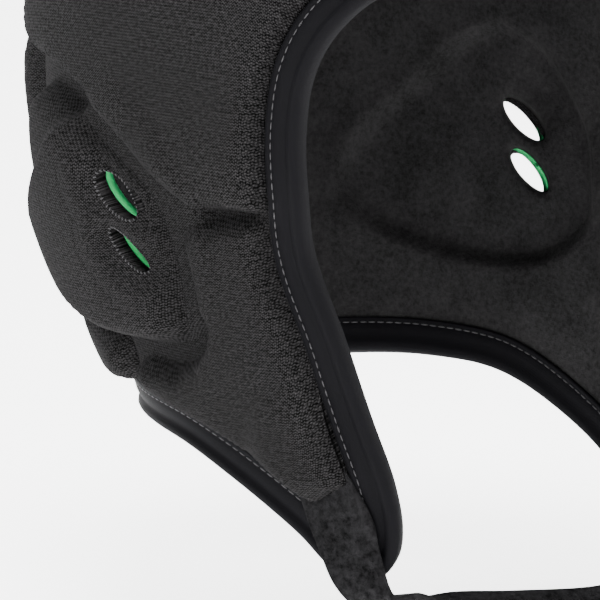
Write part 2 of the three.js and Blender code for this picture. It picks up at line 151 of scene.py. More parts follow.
EAR_HOLLOW_RIM = [
    (-0.04, 0.61), (-0.01, 0.56), (0.08, 0.502), (0.19, 0.45), (0.33, 0.426),
    (0.48, 0.45), (0.62, 0.51), (0.74, 0.57), (0.78, 0.63), (0.69, 0.69),
    (0.5, 0.728), (0.22, 0.74), (0.05, 0.715), (-0.05, 0.665),
]
TEMPLE_PAD = [
    (-0.175, 0.56), (-0.19, 0.5), (-0.21, 0.435), (-0.26, 0.374), (-0.37, 0.31),
    (-0.5, 0.268), (-0.64, 0.228), (-0.5, 0.196), (-0.2, 0.177), (0.15, 0.172),
    (0.5, 0.19), (0.73, 0.25), (0.86, 0.33), (0.84, 0.41), (0.6, 0.438),
    (0.41, 0.472), (0.285, 0.503), (0.19, 0.532), (0.1, 0.552), (0.02, 0.566),
    (-0.07, 0.565),
]
LOWER_BACK_PAD = [
    (0.45, 0.752), (0.62, 0.718), (0.72, 0.69), (0.7, 0.75), (0.62, 0.805),
    (0.46, 0.808), (0.44, 0.78),
]

# Middle of each slot of the ear pad, as in the outlines above, and its tilt in degrees
EAR_SLOTS = [(0.3, 0.556, 36), (0.262, 0.618, 41)]

# Edges of the strap under the cheek pad, as in the outlines above
STRAP_FRONT_TAB = [(-0.27, 0.8), (-0.3, 0.84), (-0.35, 0.877), (-0.402, 0.918), (-0.42, 0.955)]
STRAP_REAR_TAB = [(-0.15, 0.85), (-0.18, 0.885), (-0.21, 0.925), (-0.25, 0.961), (-0.296, 1.0)]

# Edges of the strap's free stretch, to the middle of the chin: shares of the half
# width across, of the front reach forward and of the depth down
STRAP_FRONT = [
    (0.8, -0.485, 1.008), (0.705, -0.51, 1.01), (0.64, -0.59, 1.026),
    (0.475, -0.735, 1.048), (0.25, -0.847, 1.065), (0, -0.898, 1.074),
]
STRAP_REAR = [
    (0.79, -0.337, 1.026), (0.65, -0.367, 1.026), (0.56, -0.388, 1.032),
    (0.46, -0.449, 1.027), (0.31, -0.561, 1.027), (0, -0.684, 1.03),
]

# Outlines round the crown and the back: turn from the front in degrees, and drop
BROW_EDGE = [(0, 0.252), (14, 0.253), (28, 0.259), (42, 0.277)]
NAPE_EDGE = [(145, 0.846), (162, 0.845), (180, 0.845)]
FOREHEAD_PAD = [
    (0, 0.204), (16, 0.205), (27, 0.21), (33, 0.216), (35, 0.195), (34, 0.155),
    (29, 0.115), (15, 0.1), (0, 0.097),
]
CROWN_PAD = [
    (0, 0.08), (22, 0.076), (45, 0.062), (70, 0.048), (90, 0.044), (110, 0.048),
    (135, 0.062), (158, 0.076), (180, 0.08),
]
CROWN_SIDE_PAD = [
    (45, 0.17), (40, 0.125), (44, 0.09), (62, 0.068), (90, 0.06), (118, 0.068),
    (138, 0.09), (143, 0.12), (138, 0.165), (118, 0.158), (90, 0.152), (64, 0.156),
]
BACK_PAD = [
    (180, 0.097), (167, 0.1), (154, 0.112), (149, 0.15), (148, 0.2), (150, 0.27),
    (152, 0.335), (160, 0.36), (170, 0.367), (180, 0.37),
]
UPPER_BACK_PAD = [
    (156, 0.4), (166, 0.395), (175, 0.405), (176.5, 0.45), (176.5, 0.58), (174, 0.62),
    (165, 0.635), (156, 0.625), (152, 0.58), (151, 0.51), (152, 0.435),
]
NAPE_PAD = [
    (180, 0.665), (168, 0.665), (158, 0.668), (154, 0.69), (153, 0.74), (154, 0.785),
    (158, 0.8), (168, 0.803), (180, 0.803),
]


def length(name, description, default, least=0.1):
    """A size in millimetres."""
    return FloatProperty(name=name, description=description, default=default, min=least)


def colour(name, description, default):
    """A linear colour."""
    return FloatVectorProperty(
        name=name, description=description, default=default, subtype="COLOR", min=0, max=1)


class ScrumCapSizes(bpy.types.PropertyGroup):
    """Sizes of the cap, in millimetres."""

    half_width: length("Half width", "Half the head's width", 80)
    front_reach: length("Front reach", "From the ears' plane to the forehead", 98)
    back_reach: length("Back reach", "From the ears' plane to the back of the head", 108)
    crown_height: length("Crown height", "From the widest section to the crown", 95)
    cap_depth: length("Cap depth", "From the crown to the cheek tips", 230)
    shell_thick: length("Shell", "Lining with the cloth bonded to it", 2.2)
    pad_rise: length("Pad rise", "Height of a pad over the shell", 7.4)
    ear_rise: length("Ear pad rise", "Height of an ear pad over the shell", 8.6)
    pad_shoulder: length("Pad shoulder", "Width of a pad's rounded edge", 9)
    narrow_shoulder: length("Narrow shoulder", "The same on the temple and small pads", 4.8)
    cover_thick: length("Ear cover", "Cloth and foam over the green foam", 1.5)
    ear_hollow: length("Ear hollow", "How far the lining stands off the ear", 4.6)
    hollow_wall: length("Hollow wall", "Width of the ear hollow's sloping wall", 6)
    binding_width: length("Binding width", "From the cap's edge to the binding's seam", 10.5)
    binding_cloth: length("Binding cloth", "Thickness of the folded binding", 1.8)
    roll: length("Binding roll", "Width of the rolled edge", 3)
    strap_thick: length("Strap", "Thickness of the chin strap", 2)
    slot_length: length("Slot length", "Length of each slot over the ear", 16.4)
    slot_depth: length("Slot depth", "From the ear pad's cloth down to the shell, in a slot", 5)
    cover_slot: length("Ear pad slot width", "Width of each slot in the ear pad's cloth", 6)
    slot_lean: FloatProperty(
        name="Slot lean", description="How far the slots lean back as they go outward",
        default=math.radians(27), subtype="ANGLE")
    stitch_pitch: length("Stitch pitch", "From one stitch of the binding to the next", 2.6)
    thread: length("Thread", "Thickness of the sewing thread", 0.45)


class ScrumCapColours(bpy.types.PropertyGroup):
    """Colours of the cap's cloths and foam."""

    pad_cloth: colour("Pad cloth", "Knit over the pads", (0.0122, 0.0117, 0.0120))
    lining: colour("Lining", "Short pile inside", (0.0160, 0.0155, 0.0158))
    binding: colour("Binding", "Smooth folded binding", (0.0044, 0.0043, 0.0050))
    strap: colour("Strap", "Brushed loop pile", (0.0085, 0.0083, 0.0088))
    foam: colour("Ear foam", "Foam seen inside the slots", (0.03, 0.46, 0.14))
    thread: colour("Thread", "Sewing thread", (0.03, 0.029, 0.031))


def smooth(share):
    """0 to 1 with level ends."""
    t = np.clip(share, 0, 1)
    return t * t * (3 - 2 * t)


def unit(v):
    """Vectors scaled to length 1."""
    return v / np.maximum(np.linalg.norm(v, axis=-1, keepdims=True), 1e-12)


def through(points, closed, per=16):
    """Smooth line through these points, as a centripetal spline."""
    p = np.asarray(points, float)
    if closed:
        p = np.vstack([p[-1], p, p[0], p[1]])
    else:
        p = np.vstack([2 * p[0] - p[1], p, 2 * p[-1] - p[-2]])
    t = (np.arange(per) / per)[:, None]
    parts = []
    for a, b, c, d in zip(p[:-3], p[1:-2], p[2:-1], p[3:]):
        before, here, after = (max(np.linalg.norm(q), 1e-9) ** 0.5 for q in (b - a, c - b, d - c))
        leave = ((b - a) / before - (c - a) / (before + here) + (c - b) / here) * here
        arrive = ((c - b) / here - (d - b) / (here + after) + (d - c) / after) * here
        parts.append(b + leave * t + (3 * (c - b) - 2 * leave - arrive) * t**2
                     + (2 * (b - c) + leave + arrive) * t**3)
    line = np.vstack(parts)
    return line if closed else np.vstack([line, p[-2]])


def run_along(line):
    """Distance of each point from the line's start, along the line."""
    return np.concatenate([[0], np.cumsum(np.linalg.norm(np.diff(line, axis=0), axis=1))])


def tangents(loop):
    """Unit vectors along a closed line at its points."""
    return unit(np.roll(loop, -1, axis=0) - np.roll(loop, 1, axis=0))


def spaced(line, step, closed):
    """The same line with its points this far apart."""
    whole = np.vstack([line, line[:1]]) if closed else line
    run = run_along(whole)
    count = max(int(round(run[-1] / step)), 4)
    at = np.linspace(0, run[-1], count + 1)
    if closed:
        at = at[:-1]
    return np.stack([np.interp(at, run, whole[:, k]) for k in range(whole.shape[1])], axis=1)


def gap_to_line(points, line, closed=True):
    """Distance of each point to the line, and the place along it in steps."""
    ends = np.roll(line, -1, axis=0) if closed else line[1:]
    starts = line if closed else line[:-1]
    span = ends - starts
    size = np.maximum((span**2).sum(1), 1e-12)
    gaps, places = [], []
    for part in np.array_split(points, max(len(points) * len(starts) // 1500000, 1)):
        away = part[:, None] - starts[None]
        t = np.clip((away * span[None]).sum(2) / size, 0, 1)
        reach = np.linalg.norm(away - t[..., None] * span[None], axis=2)
        best = reach.argmin(1)
        rows = np.arange(len(part))
        gaps.append(reach[rows, best])
        places.append(best + t[rows, best])
    return np.concatenate(gaps), np.concatenate(places)


def inside(points, loops):
    """Which 2D points lie inside the first loop and outside the others."""
    found = np.zeros(len(points), bool)
    for loop in loops:
        a, b = loop, np.roll(loop, -1, axis=0)
        y = points[:, 1:2]
        crosses = (a[:, 1] > y) != (b[:, 1] > y)
        rise = np.where(a[:, 1] == b[:, 1], 1, b[:, 1] - a[:, 1])
        at = a[:, 0] + (y - a[:, 1]) * (b[:, 0] - a[:, 0]) / rise
        found ^= (np.sum(crosses & (points[:, :1] < at), axis=1) % 2).astype(bool)
    return found


def inner_rings(loop, steps, sign):
    """Points this far inside a 2D loop (sign 1) or outside it (-1), where they fit."""
    along = tangents(loop)
    area = np.sum(loop[:, 0] * np.roll(loop[:, 1], -1) - np.roll(loop[:, 0], -1) * loop[:, 1])
    inward = np.stack([-along[:, 1], along[:, 0]], axis=1) * np.sign(area) * sign
    rings = [loop + inward * step for step in steps]
    return [ring[gap_to_line(ring, loop)[0] > 0.96 * step] for ring, step in zip(rings, steps)]


def fill(loops, pitch, steps=()):
    """Points and triangles that fill the first loop outside the others, its own first."""
    extra = [ring for i, loop in enumerate(loops)
             for ring in inner_rings(loop, steps, 1 if i == 0 else -1)]
    low, high = loops[0].min(0), loops[0].max(0)
    rows = []
    for i, y in enumerate(np.arange(low[1], high[1], pitch * math.sqrt(0.75))):
        x = np.arange(low[0] + (i % 2) * pitch / 2, high[0], pitch)
        rows.append(np.stack([x, np.full(len(x), y)], axis=1))
    grid = np.vstack(rows)
    margin = (steps[-1] if len(steps) else 0) + 0.6 * pitch
    gap = np.min([gap_to_line(grid, loop)[0] for loop in loops], axis=0)
    chosen = [grid[inside(grid, loops) & (gap > margin)]]
    for i, ring in enumerate(extra):
        ring = ring[inside(ring, loops)] if len(ring) else ring
        if len(ring) and len(loops) > 1:
            nearest = np.sort([gap_to_line(ring, loop)[0] for loop in loops], axis=0)[0]
            ring = ring[nearest > 0.9 * steps[i % len(steps)]]
        chosen.append(ring)
    return triangles_between(loops, np.vstack(chosen))


def apart(points, least):
    """The points without those that share a small square with an earlier one."""
    cells = np.floor(points / least).astype(int)
    _, first = np.unique(cells, axis=0, return_index=True)
    return points[np.sort(first)]


def triangles_between(loops, free):
    """Delaunay triangles over the loops' points and these free ones, kept to the loops."""
    free = apart(free, 0.3 if np.ptp(loops[0]) > 20 else 0.004)
    points = np.vstack([*loops, free])
    edges, first = [], 0
    for loop in loops:
        edges += [(first + i, first + (i + 1) % len(loop)) for i in range(len(loop))]
        first += len(loop)
    made = delaunay_2d_cdt([Vector(p) for p in points.tolist()], edges, [], 0, 1e-7)
    places = np.array([tuple(v) for v in made[0]])
    if len(places) != len(points):
        raise RuntimeError("two points of an outline fell together")
    order = np.array([origins[0] for origins in made[3]])
    tris = order[np.array(made[2])]
    middles = points[tris].mean(1)
    tris = tris[inside(middles, loops)]
    a, b, c = (points[tris[:, k]] for k in range(3))
    turn = (b[:, 0] - a[:, 0]) * (c[:, 1] - a[:, 1]) - (b[:, 1] - a[:, 1]) * (c[:, 0] - a[:, 0])
    tris[turn < 0] = tris[turn < 0][:, [0, 2, 1]]
    return points, tris[np.abs(turn) > 1e-10]


def evened(values, tris, held, rounds):
    """Values averaged with their neighbours, with the held ones left."""
    pairs = np.vstack([tris[:, [0, 1]], tris[:, [1, 2]], tris[:, [2, 0]]])
    pairs = np.vstack([pairs, pairs[:, ::-1]])
    counts = np.bincount(pairs[:, 0], minlength=len(values))
    for _ in range(rounds):
        sums = np.bincount(pairs[:, 0], weights=values[pairs[:, 1]], minlength=len(values))
        values = np.where(held, values, 0.5 * values + 0.5 * sums / np.maximum(counts, 1))
    return values


def slow_noise(p, size, seed=0.0):
    """Smooth noise of about -1 to 1 at each point, with lumps of this size."""
    shift = Vector((seed, 2.7 * seed, -1.3 * seed))
    return np.array([noise.noise(Vector(q) / size + shift) for q in p.tolist()])


def power_sum(x, y, width, reach):
    """Sum of powers that is 1 on a level section's line, and less inside it."""
    return (np.abs(x) / width) ** SECTION_POWER + (np.abs(y) / reach) ** SECTION_POWER


class Head:
    """The lining's surface, with the sizes of what lies on it."""

    def __init__(self, context):
        self.size = context.scene.scrum_cap_sizes
        s = self.size
        rim = through(np.array(EAR_HOLLOW_RIM) * (s.front_reach, -s.cap_depth), True)
        self.rim = spaced(rim, 1.5, True)

    def section(self, drop):
        """Half width, front reach and back reach of the level section at each drop."""
        s = self.size
        drop = np.asarray(drop, float)
        rise = np.clip(1 - np.maximum(drop, 0) / s.crown_height, 0, 1)
        dome = np.sqrt(1 - rise**2)[..., None] * np.ones(3)
        share = drop / s.cap_depth
        t0 = SECTIONS[:, 0]
        i = np.clip(np.searchsorted(t0, share, side="right") - 1, 0, len(t0) - 2)
        slopes = np.zeros((len(t0), 3))
        last = len(t0) - 1
        for j in range(1, last + 1):
            a, b = SECTIONS[j - 1], SECTIONS[min(j + 1, last)]
            slopes[j] = (b[1:] - a[1:]) / (b[0] - a[0])
        span = (t0[i + 1] - t0[i])[..., None]
        t = np.clip((share - t0[i])[..., None] / span, 0, 1)
        low = ((2 * t**3 - 3 * t**2 + 1) * SECTIONS[i, 1:] + (t**3 - 2 * t**2 + t) * span * slopes[i]
               + (3 * t**2 - 2 * t**3) * SECTIONS[i + 1, 1:] + (t**3 - t**2) * span * slopes[i + 1])
        share = np.where((drop < s.crown_height)[..., None], dome, low)
        return np.moveaxis(share * (s.half_width, s.front_reach, s.back_reach), -1, 0)

    def outness(self, p):
        """1 on the lining, less inside it."""
        s = self.size
        drop = -p[..., 2]
        width, front, back = self.section(np.maximum(drop, s.crown_height))
        reach = np.where(p[..., 1] < 0, front, back)
        level = power_sum(p[..., 0], p[..., 1], width, reach) ** (1 / SECTION_POWER)
        return np.where(drop < s.crown_height, np.hypot(level, 1 - drop / s.crown_height), level)

    def onto(self, p):
        """The nearby points of the lining."""
        scale = 1 / self.outness(p)
        middle = np.minimum(p[..., 2], -self.size.crown_height)
        return np.stack([p[..., 0] * scale, p[..., 1] * scale,
                         middle + (p[..., 2] - middle) * scale], axis=-1)

    def outward(self, p):
        """Unit normals of the lining."""
        step = 0.2
        return unit(np.stack([self.outness(p + step * axis) - self.outness(p - step * axis)
                              for axis in np.eye(3)], axis=-1))

    def side(self, table):
        """Points of the wearer's right side that the side view shows here."""
        s = self.size
        y, z = (np.array(table) * (s.front_reach, -s.cap_depth)).T
        width, front, back = self.section(-z)
        share = np.abs(y) / np.where(y < 0, front, back)
        x = width * np.maximum(1 - share**SECTION_POWER, 0) ** (1 / SECTION_POWER)
        return self.onto(np.stack([-x, y, z], axis=1))

    def turn(self, table):
        """Points of the right half at this turn from the front and this drop."""
        s = self.size
        turn, drop = np.array(table, float).T
        width, front, back = self.section(drop * s.cap_depth)
        sine, cosine = np.sin(np.radians(turn)), np.cos(np.radians(turn))
        reach = np.where(cosine > 0, front, back)
        radius = power_sum(sine, cosine, width, reach) ** (-1 / SECTION_POWER)
        return np.stack([-radius * sine, -radius * cosine, -drop * s.cap_depth], axis=1)

    def hollow(self, p):
        """How far the lining stands off the head at each point, for the ear."""
        flat = p[:, 1:]
        gap = np.where(inside(flat, [self.rim]), gap_to_line(flat, self.rim)[0], 0)
        return self.size.ear_hollow * smooth(gap / self.size.hollow_wall)

    def skin(self, p, lift):
        """Points this far off the lining, the ear hollow included."""
        return p + self.outward(p) * (lift + self.hollow(p))[:, None]

    def edge(self, step=2.0):
        """The binding's outer edge, from the brow round the right cheek and the nape."""
        half = np.vstack([self.turn(BROW_EDGE), self.side(FACE_EDGE), self.side(CHEEK_TIP),
                          self.side(NECK_EDGE), self.turn(NAPE_EDGE)])
        return self.onto(spaced(through(both_halves(half), True, 24), step, True))

    def into_cap(self, edge):
        """Unit vectors over the head, at right angles to the edge and into the cap."""
        return unit(np.cross(tangents(edge), self.outward(edge)))

    def seam(self, edge, distance):
        """The edge moved into the cap by this distance, or less where it would cross."""
        into = self.into_cap(edge)
        reach = np.full(len(edge), float(distance))
        for _ in range(12):
            moved = self.onto(edge + into * reach[:, None])
            short = gap_to_line(moved, edge)[0] < 0.965 * reach
            if not short.any():
                break
            reach = np.where(short, reach - 0.8, reach)
        for _ in range(8):
            wide = (np.roll(reach, 1) + reach + np.roll(reach, -1)) / 3
            reach = np.minimum(reach, wide)
        return self.onto(edge + into * reach[:, None]), reach


def both_halves(half):
    """A closed outline from its right half, whose ends lie on the middle plane."""
    left = half[1:-1][::-1] * (-1, 1, 1)
    return np.vstack([half, left])


def chart_of(points, head):
    """Middle and axes of a flat map over this patch, as rows: across, up, outward."""
    middle = head.onto(points.mean(0)[None])[0]
    normal = unit(head.outward(points).mean(0))
    across = unit(np.cross((0, 0, 1), normal)) if abs(normal[2]) < 0.97 else np.array([1.0, 0, 0])
    return middle, np.array([across, np.cross(normal, across), normal])


def from_chart(flat, middle, axes, head):
    """Points of the lining that this map's points stand for."""
    base = middle + flat @ axes[:2]
    low, high = np.full(len(flat), -90.0), np.full(len(flat), 12.0)
    for _ in range(26):
        half = (low + high) / 2
        out = head.outness(base + half[:, None] * axes[2]) > 1
        low, high = np.where(out, low, half), np.where(out, half, high)
    return base + ((low + high) / 2)[:, None] * axes[2]


def new_piece(name, points, faces, uv, materials, material_of=None):
    """A mesh object from points in millimetres, with a map of its cloth."""
    mesh = bpy.data.meshes.new(name)
    mesh.from_pydata((points / 1000).tolist(), [], [list(f) for f in faces])
    for material in materials:
        mesh.materials.append(material)
    mesh.polygons.foreach_set("use_smooth", [True] * len(mesh.polygons))
    if material_of is not None:
        mesh.polygons.foreach_set("material_index", np.asarray(material_of, np.int32))
    layer = mesh.uv_layers.new(name="cloth")
    corners = np.zeros(len(mesh.loops), np.int32)
    mesh.loops.foreach_get("vertex_index", corners)
    layer.data.foreach_set("uv", np.asarray(uv, np.float32)[corners].ravel())
    mesh.validate()
    obj = bpy.data.objects.new(name, mesh)
    bpy.context.scene.collection.objects.link(obj)
    return obj


def joined(top, top_tris, under, under_tris, loop_sizes):
    """Points and faces of a closed body with these two faces, joined at their equal loops."""
    count = len(top)
    faces = [top_tris, under_tris[:, ::-1] + count]
    first = 0
    for size in loop_sizes:
        i = np.arange(first, first + size)
        j = np.roll(i, -1)
        faces += [np.stack([j, i, i + count], axis=1), np.stack([j, i + count, j + count], axis=1)]
        first += size
    return np.vstack([top, under]), np.vstack(faces)


def inside_out(points, faces):
    """Whether the closed body's faces look inward, by their first three corners."""
    a, b, c = (points[faces[:, k]] for k in range(3))
    return np.einsum("ij,ij->i", a, np.cross(b, c)).sum() <= 0


def right_way_out(points, faces):
    """The faces, turned so that the closed body's volume is positive."""
    return faces[:, ::-1] if inside_out(points, faces) else faces


def plate_piece(name, top, under, tris, loop_sizes, flat, material):
    """A closed piece whose two faces are cut alike, with the flat map of both."""
    points, faces = joined(top, tris, under, tris, loop_sizes)
    uv = np.vstack([flat, flat])
    return new_piece(name, points, right_way_out(points, faces), uv, [material])


def mirror_piece(obj, name):
    """The wearer's left piece: the same mesh mirrored, with its faces out."""
    mesh = obj.data.copy()
    mesh.name = name
    mesh.transform(Matrix.Scale(-1, 4, (1, 0, 0)))
    mesh.flip_normals()
    twin = bpy.data.objects.new(name, mesh)
    bpy.context.scene.collection.objects.link(twin)
    return twin


def finish_piece(obj, node):
    """Hangs a padded piece under the root body and hides the CAD node that it stands for."""
    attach(obj, "root")
    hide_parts(node)


def finish_sides(piece, name):
    twin = mirror_piece(piece, name + "_left")
    piece.name = piece.data.name = name + "_right"
    finish_piece(piece, name + "_right")
    finish_piece(twin, name + "_left")


class Nodes:
    """A material's node tree, built from short calls."""

    def __init__(self, name):
        self.material = bpy.data.materials.new(name)
        self.material.use_nodes = True
        self.tree = self.material.node_tree
        self.tree.nodes.clear()
        self.shader = self.add("ShaderNodeBsdfPrincipled")
        out = self.add("ShaderNodeOutputMaterial")
        self.tree.links.new(self.shader.outputs[0], out.inputs["Surface"])

    def add(self, kind, **settings):
        node = self.tree.nodes.new(kind)
        for key, value in settings.items():
            setattr(node, key, value)
        return node

    def put(self, value, socket):
        if isinstance(value, (int, float, tuple)):
            socket.default_value = value
        else:
            self.tree.links.new(value, socket)

    def maths(self, operation, a, b=0.0, c=0.0):
        node = self.add("ShaderNodeMath", operation=operation)
        for value, socket in zip((a, b, c), node.inputs):
            self.put(value, socket)
        return node.outputs[0]

    def noise(self, where, scale, detail, rough=0.5):
        node = self.add("ShaderNodeTexNoise")
        self.put(where, node.inputs["Vector"])
        node.inputs["Scale"].default_value = scale
        node.inputs["Detail"].default_value = detail
        node.inputs["Roughness"].default_value = rough
        return node.outputs["Fac"]

    def between(self, share, low, high):
        node = self.add("ShaderNodeMapRange")
        self.put(share, node.inputs["Value"])
        node.inputs["To Min"].default_value = low
        node.inputs["To Max"].default_value = high
        return node.outputs["Result"]

    def tinted(self, base, share):
        node = self.add("ShaderNodeVectorMath", operation="SCALE")
        node.inputs[0].default_value = tuple(base)
        self.put(share, node.inputs["Scale"])
        self.tree.links.new(node.outputs[0], self.shader.inputs["Base Color"])

    def bump(self, height, depth):
        node = self.add("ShaderNodeBump")
        self.put(height, node.inputs["Height"])
        node.inputs["Distance"].default_value = depth
        self.tree.links.new(node.outputs[0], self.shader.inputs["Normal"])

    def cloth(self, rough, sheen, sheen_rough, specular, tint=(1, 1, 1, 1)):
        sockets = self.shader.inputs
        sockets["Roughness"].default_value = rough
        sockets["Sheen Weight"].default_value = sheen
        sockets["Sheen Roughness"].default_value = sheen_rough
        sockets["Sheen Tint"].default_value = tint
        sockets["Specular IOR Level"].default_value = specular
        return self.material


def once(build):
    """The same function, which finds the material of that name where there is one."""
    @functools.wraps(build)
    def found_or_built(name, *settings):
        return bpy.data.materials.get(name) or build(name, *settings)

    return found_or_built


@once
def knit_cloth(name, base, wale=0.9, course=0.75, contrast=2.5):
    """Fine knit: columns of V stitches, from the piece's own map in millimetres."""
    n = Nodes(name)
    uv = n.add("ShaderNodeUVMap", uv_map="cloth").outputs[0]
    split = n.add("ShaderNodeSeparateXYZ")
    n.put(uv, split.inputs[0])
    wobble = n.noise(uv, 0.35, 2)
    u = n.maths("DIVIDE", n.maths("MULTIPLY_ADD", wobble, 0.8, split.outputs[0]), wale)
    v = n.maths("DIVIDE", split.outputs[1], course)
    side = n.maths("PINGPONG", u, 0.5)
    lean = n.maths("MULTIPLY_ADD", side, 1.0, v)
    leg = n.maths("PINGPONG", lean, 0.5)
    rows = n.maths("MULTIPLY", leg, 2.0)
    columns = n.maths("MULTIPLY", n.maths("PINGPONG", n.maths("ADD", u, 0.25), 0.25), 4.0)
    weave = n.maths("MULTIPLY", rows, n.maths("POWER", columns, 0.6))
    fuzz = n.noise(uv, 1.0, 4, 0.8)
    patch = n.noise(uv, 0.06, 3)
    height = n.maths("MULTIPLY_ADD", fuzz, 2.4, weave)
    shade = n.maths("MULTIPLY_ADD", n.maths("SUBTRACT", height, 1.55), contrast, 1.0)
    shade = n.maths("MAXIMUM", shade, 0.1)
    n.tinted(base, n.maths("MULTIPLY", shade, n.between(patch, 0.85, 1.15)))
    n.bump(height, 0.0002)
    return n.cloth(0.92, 0.004, 0.5, 0.02)


@once
def pile_cloth(name, base, scale, depth, contrast, sheen, specular):
    """Short pile: fine grain in the piece's own space, with slow changes of shade."""
    n = Nodes(name)
    where = n.add("ShaderNodeTexCoord").outputs["Object"]
    grain = n.noise(where, scale, 4, 0.75)
    lumps = n.noise(where, scale / 9, 3, 0.6)
    slow = n.noise(where, 28, 3)
    height = n.maths("MULTIPLY_ADD", lumps, 0.5, grain)
    shade = n.maths("MULTIPLY_ADD", n.maths("SUBTRACT", height, 0.75), contrast, 1.0)
    n.tinted(base, n.maths("MULTIPLY", n.maths("MAXIMUM", shade, 0.2), n.between(slow, 0.8, 1.2)))
    n.bump(height, depth)
    return n.cloth(0.95, sheen, 0.35, specular)


@once
def smooth_cloth(name, base):
    """Smooth stretch cloth of the binding, with a faint close weave."""
    n = Nodes(name)
    uv = n.add("ShaderNodeUVMap", uv_map="cloth").outputs[0]
    split = n.add("ShaderNodeSeparateXYZ")
    n.put(uv, split.inputs[0])
    ribs = n.maths("MULTIPLY", n.maths("SINE", n.maths("MULTIPLY", split.outputs[0], 12.0)),
                   n.maths("SINE", n.maths("MULTIPLY", split.outputs[1], 10.0)))
    fuzz = n.noise(uv, 2.2, 3, 0.7)
    height = n.maths("MULTIPLY_ADD", ribs, 0.3, fuzz)
    n.tinted(base, n.maths("MULTIPLY_ADD", height, 0.5, 0.75))
    n.bump(height, 0.00007)
    return n.cloth(0.6, 0.004, 0.4, 0.02, (0.9, 0.92, 1, 1))


@once
def plain(name, base, rough):
    """A plain finish with a little grain."""
    n = Nodes(name)
    where = n.add("ShaderNodeTexCoord").outputs["Object"]
    grain = n.noise(where, 900, 3, 0.6)
    n.tinted(base, n.between(grain, 0.8, 1.2))
    n.bump(grain, 0.00006)
    return n.cloth(rough, 0.0, 0.4, 0.3)


def pad_knit(context):
    """The knit over every pad."""
    return knit_cloth("pad_knit", context.scene.scrum_cap_colours.pad_cloth)


def lining_pile(context):
    """The short pile of the lining."""
    base = context.scene.scrum_cap_colours.lining
    return pile_cloth("lining_pile", base, 700, 0.0004, 2.4, 0.02, 0.03)


# Each pad's outline, its right half where it is laid on both sides; how it is laid; and
# the size that gives the width of its rounded edge
PADS = {
    "temple_pad": (TEMPLE_PAD, "side", "narrow_shoulder"),
    "cheek_pad": (CHEEK_PAD, "side", "narrow_shoulder"),
    "lower_back_pad": (LOWER_BACK_PAD, "side", "narrow_shoulder"),
    "upper_back_pad": (UPPER_BACK_PAD, "turn", "pad_shoulder"),
    "crown_side_pad": (CROWN_SIDE_PAD, "turn", "pad_shoulder"),
    "forehead_pad": (FOREHEAD_PAD, "both", "pad_shoulder"),
    "crown_pad": (CROWN_PAD, "both", "pad_shoulder"),
    "back_pad": (BACK_PAD, "both", "pad_shoulder"),
    "nape_pad": (NAPE_PAD, "both", "pad_shoulder"),
}


def within_seam(outline, head, edge, seam_gap):
    """The outline with what lies past the binding's seam drawn back to it."""
    seam, _ = head.seam(edge, seam_gap)
    gap, place = gap_to_line(outline, edge)
    into = head.into_cap(edge)
    i = np.floor(place).astype(int) % len(edge)
    side = np.einsum("ij,ij->i", outline - edge[i], into[i])
    past = (side < 0) | (gap < seam_gap)
    seam_place = gap_to_line(outline, seam)[1]
    j = np.floor(seam_place).astype(int) % len(seam)
    t = (seam_place - np.floor(seam_place))[:, None]
    drawn = seam[j] * (1 - t) + seam[(j + 1) % len(seam)] * t
    return head.onto(np.where(past[:, None], drawn, outline))


def pad_profile(gap, slope, rise):
    """Height over the edge this far inside a pad's outline."""
    run = np.sqrt(gap**2 + PAD_FILLET**2) - PAD_FILLET
    return rise * (1 - (1 - np.clip(run / slope, 0, 1)) ** SHOULDER_POWER)


def outline_on(head, table, laid, step):
    """A pad's outline on the lining, evenly spaced."""
    points = head.side(table) if laid == "side" else head.turn(table)
    if laid == "both":
        points = both_halves(points)
    return head.onto(spaced(through(points, True), step, True))


def build_pad(context, name, head, edge, pitch):
    """One moulded pad, its cloth drawn down into the valley round it."""
    s = head.size
    table, laid, shoulder = PADS[name]
    rough = outline_on(head, table, laid, 0.9)
    outline = within_seam(rough, head, edge, s.binding_width + 0.4)
    outline = head.onto(spaced(outline, 1.1, True))
    middle, axes = chart_of(outline, head)
    loop = (outline - middle) @ axes[:2].T
    flat, tris = fill([loop], pitch, PAD_ROWS)
    p = from_chart(flat, middle, axes, head)
    gap = gap_to_line(p, outline)[0]
    # The rounded edge narrows toward the binding
    seam_gap = gap_to_line(p, edge)[0] - s.binding_width
    slope = getattr(s, shoulder) * (0.62 + 0.38 * smooth(seam_gap / 14))
    lift = evened(pad_profile(gap, slope, s.pad_rise), tris, gap < 1e-6, 6)
    share = lift / s.pad_rise
    soft = slow_noise(p, 34, 3.0) * 0.3 * share
    if name == "cheek_pad":
        # The pad stands higher where the strap runs under it
        front, rear = strap_edges(head, 0.0)
        over = gap_to_line(p, ((front + rear) / 2)[:60], False)[0]
        soft = soft + (s.strap_thick + 0.5) * (1 - smooth((over - 8) / 8))
    bulge = head.hollow(p)
    normal = head.outward(p)
    high = s.shell_thick + PAD_TOP_SEAT + lift + soft + bulge * (1 - 0.7 * share)
    low = s.shell_thick + PAD_UNDER_SEAT + bulge
    top = p + normal * high[:, None]
    under = p + normal * low[:, None]
    return plate_piece(name, top, under, tris, [len(loop)], flat, pad_knit(context))


class SCRUMCAP_OT_pads(bpy.types.Operator):
    """Build the moulded pads, except those over the ears"""

    bl_idname = "scrum_cap.pads"
    bl_label = "Pads"

    def execute(self, context):
        head = Head(context)
        edge = head.edge()
        pitch = 1.7
        for name, (_, laid, _) in PADS.items():
            pad = build_pad(context, name, head, edge, pitch)
            if laid == "both":
                finish_piece(pad, name)
            else:
                finish_sides(pad, name)
        return {"FINISHED"}


